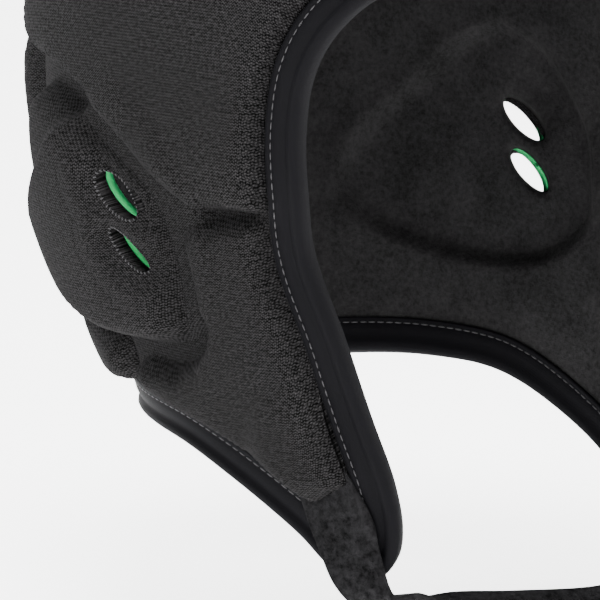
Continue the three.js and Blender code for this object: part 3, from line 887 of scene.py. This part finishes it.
def slot_ring(s, slot, ease):
    """Outline of one slot in the side view, this much wider all round than in the cloth."""
    reach, drop, tilt = slot
    turn = np.linspace(0, 2 * math.pi, SLOT_POINTS, endpoint=False)
    a = (s.slot_length / 2 + ease) * np.cos(turn)
    b = (s.cover_slot / 2 + ease) * np.sin(turn)
    cosine, sine = math.cos(math.radians(tilt)), math.sin(math.radians(tilt))
    return np.stack([reach * s.front_reach + a * cosine - b * sine,
                     -drop * s.cap_depth + a * sine + b * cosine], axis=1)


def on_side(head, flat):
    """Points of the right side that the side view shows at these places."""
    return head.side(flat / (head.size.front_reach, -head.size.cap_depth))


def slot_under(head, slot, under, ease):
    """Base points of the slot this far under the ear pad's cloth, where its lean brings it."""
    s = head.size
    lean = (-under * math.tan(s.slot_lean), SLOT_RISE * under)
    return on_side(head, slot_ring(s, slot, ease) + lean)


def slot_gap(head, p):
    """Distance of each base point to the nearest slot of the ear pad, in the side view."""
    gaps = []
    for slot in EAR_SLOTS:
        ring = slot_ring(head.size, slot, 0.0)
        gap = gap_to_line(p[:, 1:], ring)[0]
        gaps.append(np.where(inside(p[:, 1:], [ring]), 0, gap))
    return np.min(gaps, axis=0)


def ear_lift(head, outline, p, drop):
    """Height over the lining of the ear pad's dome, dimpled at the slots, less the drop."""
    s = head.size
    gap = gap_to_line(p, outline)[0]
    dome = pad_profile(gap, s.pad_shoulder, s.ear_rise)
    hollow = head.hollow(p)
    away = slot_gap(head, p)
    dimple = np.minimum(DIMPLE_DEPTH * (1 - smooth(away / DIMPLE_REACH)),
                        np.maximum(dome - LEAST_DOME, 0))
    crease = CREASE_DEPTH * np.exp(-(((away - CREASE_AWAY) / CREASE_WIDTH) ** 2))
    crease = crease * smooth(gap / CREASE_FADE - 0.6)
    height = s.shell_thick + PAD_TOP_SEAT + dome + hollow - dimple - crease
    if not drop:
        return height
    return np.maximum(height - drop, s.shell_thick + FOAM_TOP_SEAT + hollow)


def build_ear(context, head, pitch):
    """The slotted cover over the right ear, the foam inside it and the cover's slot rims."""
    s = head.size
    outline = outline_on(head, EAR_PAD, "side", 1.1)
    middle, axes = chart_of(outline, head)
    deep = []
    for slot in EAR_SLOTS:
        ring = slot_under(head, slot, s.slot_depth, DEEP_EASE)
        deep.append(head.skin(ring, np.full(len(ring), s.shell_thick + FOAM_UNDER_SEAT)))
    deep = np.vstack(deep)
    foam_rim = shrunk(head, outline, s.cover_thick + FOAM_RIM_GAP)
    made = {}
    for name, rim, ease, drop, material in (
        ("ear_cover", outline, 0.0, 0.0, pad_knit(context)),
        ("ear_foam", foam_rim, FOAM_SLOT_GAP, s.cover_thick + FOAM_TOP_GAP,
         plain("ear_foam_green", context.scene.scrum_cap_colours.foam, 0.75)),
    ):
        rings = [on_side(head, slot_ring(s, slot, ease)) for slot in EAR_SLOTS]
        loops = [(q - middle) @ axes[:2].T for q in (rim, *rings)]
        sizes = [len(q) for q in loops]
        rims = slice(sizes[0], sum(sizes))
        flat, tris = fill(loops, pitch, EAR_ROWS)
        p = from_chart(flat, middle, axes, head)
        lift = ear_lift(head, outline, p, drop)
        normal = head.outward(p)
        top = p + normal * lift[:, None]
        if name == "ear_cover":
            low = np.maximum(lift - s.cover_thick, s.shell_thick + COVER_UNDER_SEAT + head.hollow(p))
            under = p + normal * low[:, None]
            down = deep - top[rims]
            under[rims] = top[rims] + down * (TURNED_IN / np.linalg.norm(down, axis=1)[:, None])
            made["rims"] = np.split(top[rims], len(EAR_SLOTS))
        else:
            low = s.shell_thick + FOAM_UNDER_SEAT + head.hollow(p)
            under = p + normal * low[:, None]
            under[rims] = deep
        made[name] = plate_piece(name, top, under, tris, sizes, flat, material)
    return made


def shrunk(head, outline, within):
    """The outline moved inward over the head."""
    inward = unit(np.cross(tangents(outline), head.outward(outline)))
    middle = outline.mean(0)
    if np.einsum("ij,ij->i", inward, middle - outline).mean() < 0:
        inward = -inward
    return head.onto(outline + inward * within)


class SCRUMCAP_OT_ear_pads(bpy.types.Operator):
    """Build the slotted domes over the ears and the foam inside them"""

    bl_idname = "scrum_cap.ear_pads"
    bl_label = "Ear pads"

    def execute(self, context):
        head = Head(context)
        made = build_ear(context, head, 1.5)
        finish_sides(made["ear_cover"], "ear_cover")
        finish_sides(made["ear_foam"], "ear_foam")
        whip = plain("slot_thread", context.scene.scrum_cap_colours.thread, 0.6)
        starts, alongs, ups = [], [], []
        for rim in made["rims"]:
            even = spaced(rim, 1.25, True)
            out = head.outward(head.onto(even))
            inward = unit(even.mean(0) - even)
            starts.append(even + out * 0.05 - inward * 0.25)
            alongs.append(unit(inward * 0.9 + tangents(even) * 0.35 - out * 0.45))
            ups.append(out)
        stitches = stitched("slot_stitches_right", np.vstack(starts), np.vstack(alongs),
                            np.vstack(ups), 1.0, head.size.thread, whip)
        left = mirror_piece(stitches, "slot_stitches_left")
        for obj in (stitches, left):
            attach(obj, "root")
        return {"FINISHED"}


def stitch_tree(material):
    """Geometry nodes that lay one rounded stitch at each point of a mesh."""
    tree = bpy.data.node_groups.new("laid_stitches", "GeometryNodeTree")
    face = tree.interface
    face.new_socket("Geometry", in_out="INPUT", socket_type="NodeSocketGeometry")
    face.new_socket("Stitch length", in_out="INPUT", socket_type="NodeSocketFloat")
    face.new_socket("Thread", in_out="INPUT", socket_type="NodeSocketFloat")
    face.new_socket("Geometry", in_out="OUTPUT", socket_type="NodeSocketGeometry")
    new = tree.nodes.new
    link = tree.links.new
    given, made = new("NodeGroupInput"), new("NodeGroupOutput")
    bead = new("GeometryNodeMeshUVSphere")
    bead.inputs["Segments"].default_value = 6
    bead.inputs["Rings"].default_value = 5
    bead.inputs["Radius"].default_value = 0.5
    shape = new("ShaderNodeCombineXYZ")
    link(given.outputs["Thread"], shape.inputs["X"])
    link(given.outputs["Thread"], shape.inputs["Y"])
    link(given.outputs["Stitch length"], shape.inputs["Z"])
    facing = new("FunctionNodeAxesToRotation")
    facing.primary_axis, facing.secondary_axis = "Z", "Y"
    for key, socket in (("along", "Primary Axis"), ("up", "Secondary Axis")):
        read = new("GeometryNodeInputNamedAttribute")
        read.data_type = "FLOAT_VECTOR"
        read.inputs["Name"].default_value = key
        link(read.outputs["Attribute"], facing.inputs[socket])
    laid = new("GeometryNodeInstanceOnPoints")
    link(given.outputs["Geometry"], laid.inputs["Points"])
    link(bead.outputs["Mesh"], laid.inputs["Instance"])
    link(facing.outputs[0], laid.inputs["Rotation"])
    link(shape.outputs[0], laid.inputs["Scale"])
    real, shade, painted = (new(kind) for kind in (
        "GeometryNodeRealizeInstances", "GeometryNodeSetShadeSmooth", "GeometryNodeSetMaterial"))
    painted.inputs["Material"].default_value = material
    link(laid.outputs[0], real.inputs[0])
    link(real.outputs[0], shade.inputs[0])
    link(shade.outputs[0], painted.inputs[0])
    link(painted.outputs[0], made.inputs[0])
    return tree


def stitched(name, places, along, up, stitch, thread, material):
    """A row of stitches at these places, as one plain mesh."""
    seeds = bpy.data.meshes.new(name + "_places")
    seeds.from_pydata((places / 1000).tolist(), [], [])
    for key, values in (("along", along), ("up", up)):
        layer = seeds.attributes.new(key, "FLOAT_VECTOR", "POINT")
        layer.data.foreach_set("vector", np.asarray(values, np.float32).ravel())
    obj = bpy.data.objects.new(name, seeds)
    bpy.context.scene.collection.objects.link(obj)
    tree = stitch_tree(material)
    modifier = obj.modifiers.new("stitches", "NODES")
    modifier.node_group = tree
    for item in tree.interface.items_tree:
        if item.name == "Stitch length":
            modifier[item.identifier] = stitch / 1000
        elif item.name == "Thread":
            modifier[item.identifier] = thread / 1000
    shown = obj.evaluated_get(bpy.context.evaluated_depsgraph_get())
    mesh = bpy.data.meshes.new_from_object(shown)
    obj.modifiers.clear()
    mesh.name = name
    obj.data = mesh
    bpy.data.meshes.remove(seeds)
    return obj


def whole_chart(p, s):
    """A flat map of the whole cap, close to true in its angles, with the crown in its middle."""
    drop = -p[:, 2]
    dome = np.tan(np.arccos(1 - np.clip(drop / s.crown_height, 0, 1)) / 2)
    low = np.exp(np.maximum(drop - s.crown_height, 0) / CHART_FALL)
    radius = np.where(drop < s.crown_height, dome, low)
    return unit(p[:, :2]) * radius[:, None]


def off_chart(flat, head):
    """Points of the lining that the whole cap's map shows here."""
    s = head.size
    radius = np.linalg.norm(flat, axis=1)
    dome = s.crown_height * (1 - np.cos(2 * np.arctan(np.minimum(radius, 1))))
    drop = np.where(radius < 1, dome, s.crown_height + CHART_FALL * np.log(np.maximum(radius, 1)))
    away = flat / np.maximum(radius, 1e-9)[:, None]
    width, front, back = head.section(drop)
    reach = np.where(away[:, 1] < 0, front, back)
    size = power_sum(away[:, 0], away[:, 1], width, reach) ** (-1 / SECTION_POWER)
    return np.stack([away[:, 0] * size, away[:, 1] * size, -drop], axis=1)


def even_points(head, pitch):
    """Points about this far apart over the whole head."""
    s = head.size
    rows = []
    turn = 0.0
    arc = np.arange(0.5 * pitch, s.crown_height * math.pi / 2, pitch * 0.87)
    drops = list(s.crown_height * (1 - np.cos(arc / s.crown_height)))
    drops += list(np.arange(s.crown_height, 1.01 * s.cap_depth, pitch * 0.87))
    for drop in drops:
        ring = 2 * math.pi * float(head.section(np.array([drop]))[:2].mean())
        count = max(int(ring / pitch), 6)
        angle = np.linspace(0, 2 * math.pi, count, endpoint=False) + turn
        turn += math.pi / count
        if drop < s.crown_height:
            radius = math.tan(math.acos(1 - drop / s.crown_height) / 2)
        else:
            radius = math.exp((drop - s.crown_height) / CHART_FALL)
        rows.append(np.stack([np.sin(angle), np.cos(angle)], axis=1) * radius)
    return np.vstack(rows)


class SCRUMCAP_OT_shell(bpy.types.Operator):
    """Build the lining with its ear hollows, and the cloth between the pads"""

    bl_idname = "scrum_cap.shell"
    bl_label = "Shell"

    def face(self, head, rim, rings, lift):
        """Points and triangles of one side of the wall, cut at its rim and slots."""
        s = head.size
        on_head = [rim, *rings]
        loops = [whole_chart(q, s) for q in on_head]
        grid = even_points(head, 2.1)
        place = off_chart(grid, head)
        rows = inner_rings(head.rim, np.arange(0.3, s.hollow_wall, 1.1), 1)
        rows = np.vstack([on_side(head, row) for row in rows])
        rows = whole_chart(np.vstack([rows, rows * (-1, 1, 1)]), s)
        wall = gap_to_line(place[:, 1:], head.rim)[0] < 1.1 * s.hollow_wall
        wall &= inside(place[:, 1:], [head.rim])
        grid = np.vstack([grid[~wall], rows])
        grid = grid[inside(grid, loops)]
        place = off_chart(grid, head)
        clear = np.min([gap_to_line(place, q)[0] for q in on_head], axis=0)
        flat, tris = triangles_between(loops, grid[clear > 1.2])
        p = off_chart(flat, head)
        return head.skin(p, np.full(len(p), lift)), tris

    def execute(self, context):
        head = Head(context)
        s = head.size
        rim, _ = head.seam(head.edge(2.2), s.roll)
        faces = []
        for under, ease, lift in ((s.slot_depth, 0.1, s.shell_thick),
                                  (s.slot_depth + s.shell_thick, 1.2, 0.0)):
            rings = []
            for slot in EAR_SLOTS:
                ring = slot_under(head, slot, under, ease)
                rings += [ring, ring[::-1] * (-1, 1, 1)]
            faces.append(self.face(head, rim, rings, lift))
        (outer, outer_tris), (inner, inner_tris) = faces
        sizes = [len(rim)] + [SLOT_POINTS] * (2 * len(EAR_SLOTS))
        points, tris = joined(outer, outer_tris, inner, inner_tris, sizes)
        kinds = np.repeat([1, 0], [len(outer_tris), len(tris) - len(outer_tris)])
        around = np.degrees(np.arctan2(points[:, 0], points[:, 1])) * 1.5
        shell = new_piece("shell", points, right_way_out(points, tris),
                          np.stack([around, points[:, 2]], axis=1),
                          [lining_pile(context), pad_knit(context)], kinds)
        finish_piece(shell, "shell")
        return {"FINISHED"}


def binding_profile(s):
    """Closed section of the folded binding: across from the cap's edge, and up."""
    cloth = s.binding_cloth
    over = s.shell_thick + cloth
    w, r = s.binding_width, s.roll
    outer = [
        (w, s.shell_thick + 0.35), (w - 0.05, over - 1.0), (w - 0.45, over - 0.62),
        (w - 1.3, over - 0.55), (w - 1.75, over - 0.78), (w - 2.0, over - 0.85),
        (w - 2.3, over - 0.78), (w - 2.9, over - 0.5), (w - 4.2, over - 0.35),
        (r + 2.0, over - 0.45), (r + 1.2, over - 0.75), (r + 0.6, over - 0.55),
        (r, over + 0.25), (r - 0.8, over + 0.6), (r - 1.6, over + 0.5), (r - 2.3, over),
        (r - 2.8, over - 0.9), (0.0, s.shell_thick / 2),
    ]
    inner = [
        (r - 2.8, 0.6 - 0.9 * cloth), (r - 2.3, -cloth), (r - 1.5, -cloth - 0.35),
        (r, -cloth - 0.1), (r + 0.8, -cloth * 0.75), (w - 4.5, -cloth * 0.6), (w - 3.0, -cloth * 0.6),
        (w - 2.4, -cloth * 0.42), (w - 2.0, -cloth * 0.38), (w - 1.6, -cloth * 0.42),
        (w - 0.9, -cloth * 0.5), (w - 0.4, -cloth * 0.35), (w - 0.3, -0.15),
    ]
    groove = [(r + 0.4, -0.12), (r - 0.15, -0.1), (r - 0.3, s.shell_thick / 2),
              (r - 0.15, s.shell_thick + 0.1), (r + 0.4, s.shell_thick + 0.12)]
    return np.array(outer + inner + groove)


class SCRUMCAP_OT_binding(bpy.types.Operator):
    """Build the folded binding round the cap's edge and its two rows of stitches"""

    bl_idname = "scrum_cap.binding"
    bl_label = "Binding"

    def execute(self, context):
        head = Head(context)
        s = head.size
        edge = head.edge(1.6)
        into = head.into_cap(edge)
        _, reach = head.seam(edge, s.binding_width)
        profile = binding_profile(s)
        count, turns = len(profile), len(edge)
        rows, uv = [], []
        run = run_along(edge)
        for across, up in profile:
            over_roll = np.maximum(across - s.roll, 0) / (s.binding_width - s.roll)
            width = np.minimum(across, s.roll) + over_roll * (reach - s.roll)
            base = head.onto(edge + into * width[:, None])
            rows.append(head.skin(base, np.full(turns, up)))
            uv.append(np.stack([run, np.full(turns, across + 3 * (up < 0))], axis=1))
        points = np.stack(rows, axis=1).reshape(-1, 3)
        uv = np.stack(uv, axis=1).reshape(-1, 2)
        i, k = np.indices((turns, count)).reshape(2, -1)
        here, after = i * count, (i + 1) % turns * count
        j = (k + 1) % count
        quads = np.stack([here + k, after + k, after + j, here + j], axis=1)
        quads = right_way_out(points, quads)
        cloth = smooth_cloth("binding_knit", context.scene.scrum_cap_colours.binding)
        piece = new_piece("edge_binding", points, quads, uv, [cloth])
        finish_piece(piece, "edge_binding")
        thread = plain("binding_thread", context.scene.scrum_cap_colours.thread, 0.55)
        fine = head.edge(0.8)
        fine_into = head.into_cap(fine)
        _, fine_reach = head.seam(fine, s.binding_width)
        for name, up in (("outer_stitches", s.shell_thick + s.binding_cloth - 0.72),
                         ("inner_stitches", -0.38 * s.binding_cloth - 0.1)):
            line = head.onto(fine + fine_into * (fine_reach - STITCH_INSET)[:, None])
            even = head.onto(spaced(line, s.stitch_pitch, True))
            places = head.skin(even, np.full(len(even), up))
            row = stitched(name, places, tangents(places), head.outward(even),
                           0.8 * s.stitch_pitch, s.thread, thread)
            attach(row, "root")
        return {"FINISHED"}


def strap_edges(head, least=0.3):
    """Front and rear edges of the strap, from the right cheek to the left, this far off the
    shell at its ends."""
    s = head.size
    low = s.shell_thick + least + s.strap_thick / 2
    over = s.shell_thick + s.binding_cloth + 0.8 + s.strap_thick / 2
    edges = []
    for tab, free in ((STRAP_FRONT_TAB, STRAP_FRONT), (STRAP_REAR_TAB, STRAP_REAR)):
        lift = np.interp(np.arange(len(tab)), [0, 2, 4], [low, low + 0.3, over])
        sewn = head.skin(head.side(tab), lift)
        loose = np.array(free) * (-s.half_width, s.front_reach, -s.cap_depth)
        half = np.vstack([sewn, loose])
        edges.append(through(np.vstack([half, (half[:-1] * (-1, 1, 1))[::-1]]), False, 12))
    return edges


class SCRUMCAP_OT_strap(bpy.types.Operator):
    """Build the chin strap from one cheek tip to the other"""

    bl_idname = "scrum_cap.strap"
    bl_label = "Chin strap"

    def execute(self, context):
        head = Head(context)
        s = head.size
        front, rear = strap_edges(head)
        count = len(front)
        along = unit(np.gradient(front, axis=0) + np.gradient(rear, axis=0))
        across = rear - front
        face = unit(np.cross(along, across))
        t = s.strap_thick / 2
        wide = np.linalg.norm(across, axis=1)
        side = unit(across)
        # Round the section: the outer face, the rear edge, the inner face, the front edge
        flat = np.linspace(0, 1, 15)
        turn = np.linspace(0, math.pi, 7)[1:-1]
        path = ([("flat", f, 1) for f in flat] + [("end", a, 1) for a in turn]
                + [("flat", f, -1) for f in flat[::-1]] + [("start", a, 1) for a in turn])
        rows, uv = [], []
        for kind, value, sign in path:
            if kind == "flat":
                at = front + side * (t + value * (wide - 2 * t))[:, None] + face * (sign * t)
                v = value * 22 + (0 if sign > 0 else 30)
            elif kind == "end":
                centre = front + side * (wide - t)[:, None]
                at = centre + side * (t * math.sin(value)) + face * (t * math.cos(value))
                v = 22 + value * 2
            else:
                centre = front + side * t
                at = centre - side * (t * math.sin(value)) - face * (t * math.cos(value))
                v = 52 + value * 2
            rows.append(at)
            uv.append(np.full(count, v))
        points = np.stack(rows, axis=1).reshape(-1, 3)
        ring = len(rows)
        uv = np.stack([np.repeat(run_along(front), ring), np.stack(uv, axis=1).ravel()], axis=1)
        i, k = np.indices((count - 1, ring)).reshape(2, -1)
        here, after = i * ring, (i + 1) * ring
        j = (k + 1) % ring
        quads = np.stack([here + k, after + k, after + j, here + j], axis=1)
        ends = [list(range(ring))[::-1], list(range((count - 1) * ring, count * ring))]
        if inside_out(points, quads):
            quads = quads[:, ::-1]
            ends = [e[::-1] for e in ends]
        base = context.scene.scrum_cap_colours.strap
        pile = pile_cloth("strap_pile", base, 420, 0.0009, 4.0, 0.004, 0.02)
        strap = new_piece("chin_strap", points, quads.tolist() + ends, uv, [pile])
        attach(strap, "root")
        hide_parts("chin_strap")
        return {"FINISHED"}


def area_light(name, place, target, size, power):
    """A soft square light at this place, aimed at the target, both in metres."""
    data = bpy.data.lights.new(name, "AREA")
    data.shape = "SQUARE"
    data.size = size
    data.energy = power
    lamp = bpy.data.objects.new(name, data)
    lamp.location = place
    lamp.rotation_euler = (Vector(target) - Vector(place)).to_track_quat("-Z", "Y").to_euler()
    bpy.context.scene.collection.objects.link(lamp)
    return lamp


class SCRUMCAP_OT_stage(bpy.types.Operator):
    """Build the pale floor, the lights and the camera"""

    bl_idname = "scrum_cap.stage"
    bl_label = "Stage"

    def execute(self, context):
        low = float(CAD_BOX[0][2]) - 0.004
        azimuth, elevation = math.radians(CAMERA_TURN), math.radians(CAMERA_RISE)
        back = Vector((math.sin(azimuth) * math.cos(elevation),
                       -math.cos(azimuth) * math.cos(elevation), math.sin(elevation)))
        camera = bpy.data.objects.new("camera", bpy.data.cameras.new("camera"))
        camera.location = Vector(CAMERA_TARGET) + back * CAMERA_AWAY
        camera.rotation_euler = (-back).to_track_quat("-Z", "Y").to_euler()
        camera.data.lens = CAMERA_LENS
        camera.data.sensor_width = 36
        camera.data.clip_end = 100
        context.scene.collection.objects.link(camera)
        context.scene.camera = camera
        # The floor runs away from the camera, turns up and ends as a wall
        curve = [(2.2 + 1.2 * math.sin(a), 1.2 - 1.2 * math.cos(a))
                 for a in np.linspace(0, math.pi / 2, 14)]
        arc = [(-5.0, 0.0), (0.0, 0.0), *curve, (3.4, 6.0)]
        away = Vector((-back.x, -back.y, 0)).normalized()
        aside = Vector((-away.y, away.x, 0))
        verts = []
        for run, up in arc:
            for side in (-6.0, 6.0):
                q = away * run + aside * side
                verts.append((q.x, q.y, low + up))
        faces = [(2 * i, 2 * i + 1, 2 * i + 3, 2 * i + 2) for i in range(len(arc) - 1)]
        mesh = bpy.data.meshes.new("floor")
        mesh.from_pydata(verts, [], faces)
        mesh.polygons.foreach_set("use_smooth", [True] * len(mesh.polygons))
        n = Nodes("pale_floor")
        n.shader.inputs["Base Color"].default_value = (0.92, 0.92, 0.92, 1)
        n.shader.inputs["Roughness"].default_value = 0.9
        n.shader.inputs["Emission Color"].default_value = (1, 1, 1, 1)
        n.shader.inputs["Emission Strength"].default_value = 3.2
        mesh.materials.append(n.material)
        floor = bpy.data.objects.new("floor", mesh)
        context.scene.collection.objects.link(floor)
        world = bpy.data.worlds.new("studio")
        world.use_nodes = True
        sky = world.node_tree.nodes["Background"]
        sky.inputs["Color"].default_value = (1, 1, 1, 1)
        sky.inputs["Strength"].default_value = 0.45
        context.scene.world = world
        middle = (0, 0, -0.12)
        right = Vector((math.cos(azimuth), math.sin(azimuth), 0))
        face_place = tuple(right * 1.3 + back * 0.7 + Vector((0, 0, 0.35)))
        side_place = tuple(right * -1.3 + back * 0.9 + Vector((0, 0, 0.5)))
        lights = [
            area_light("top_light", (-0.3, -0.2, 1.5), middle, 0.9, 60),
            area_light("face_light", face_place, middle, 0.8, 20),
            area_light("side_light", side_place, middle, 0.9, 22),
        ]
        return {"FINISHED"}


class SCRUMCAP_PT_panel(bpy.types.Panel):
    """Sizes, colours and pieces of the scrum cap"""

    bl_idname = "SCRUMCAP_PT_panel"
    bl_label = "Scrum cap"
    bl_space_type = "VIEW_3D"
    bl_region_type = "UI"
    bl_category = "Scrum cap"

    def draw(self, context):
        for group in (context.scene.scrum_cap_sizes, context.scene.scrum_cap_colours):
            box = self.layout.box()
            for key in group.__annotations__:
                box.prop(group, key)
        for operator in OPERATORS:
            self.layout.operator(operator.bl_idname)


OPERATORS = (SCRUMCAP_OT_shell, SCRUMCAP_OT_pads, SCRUMCAP_OT_ear_pads, SCRUMCAP_OT_binding,
             SCRUMCAP_OT_strap, SCRUMCAP_OT_stage)
CLASSES = (ScrumCapSizes, ScrumCapColours, *OPERATORS, SCRUMCAP_PT_panel)


def register():
    for cls in CLASSES:
        bpy.utils.register_class(cls)
    bpy.types.Scene.scrum_cap_sizes = PointerProperty(type=ScrumCapSizes)
    bpy.types.Scene.scrum_cap_colours = PointerProperty(type=ScrumCapColours)


def unregister():
    del bpy.types.Scene.scrum_cap_colours
    del bpy.types.Scene.scrum_cap_sizes
    for cls in reversed(CLASSES):
        bpy.utils.unregister_class(cls)


def main():
    register()
    bpy.ops.scrum_cap.shell()
    bpy.ops.scrum_cap.pads()
    bpy.ops.scrum_cap.ear_pads()
    bpy.ops.scrum_cap.binding()
    bpy.ops.scrum_cap.strap()
    bpy.ops.scrum_cap.stage()


if __name__ == "__main__":
    main()
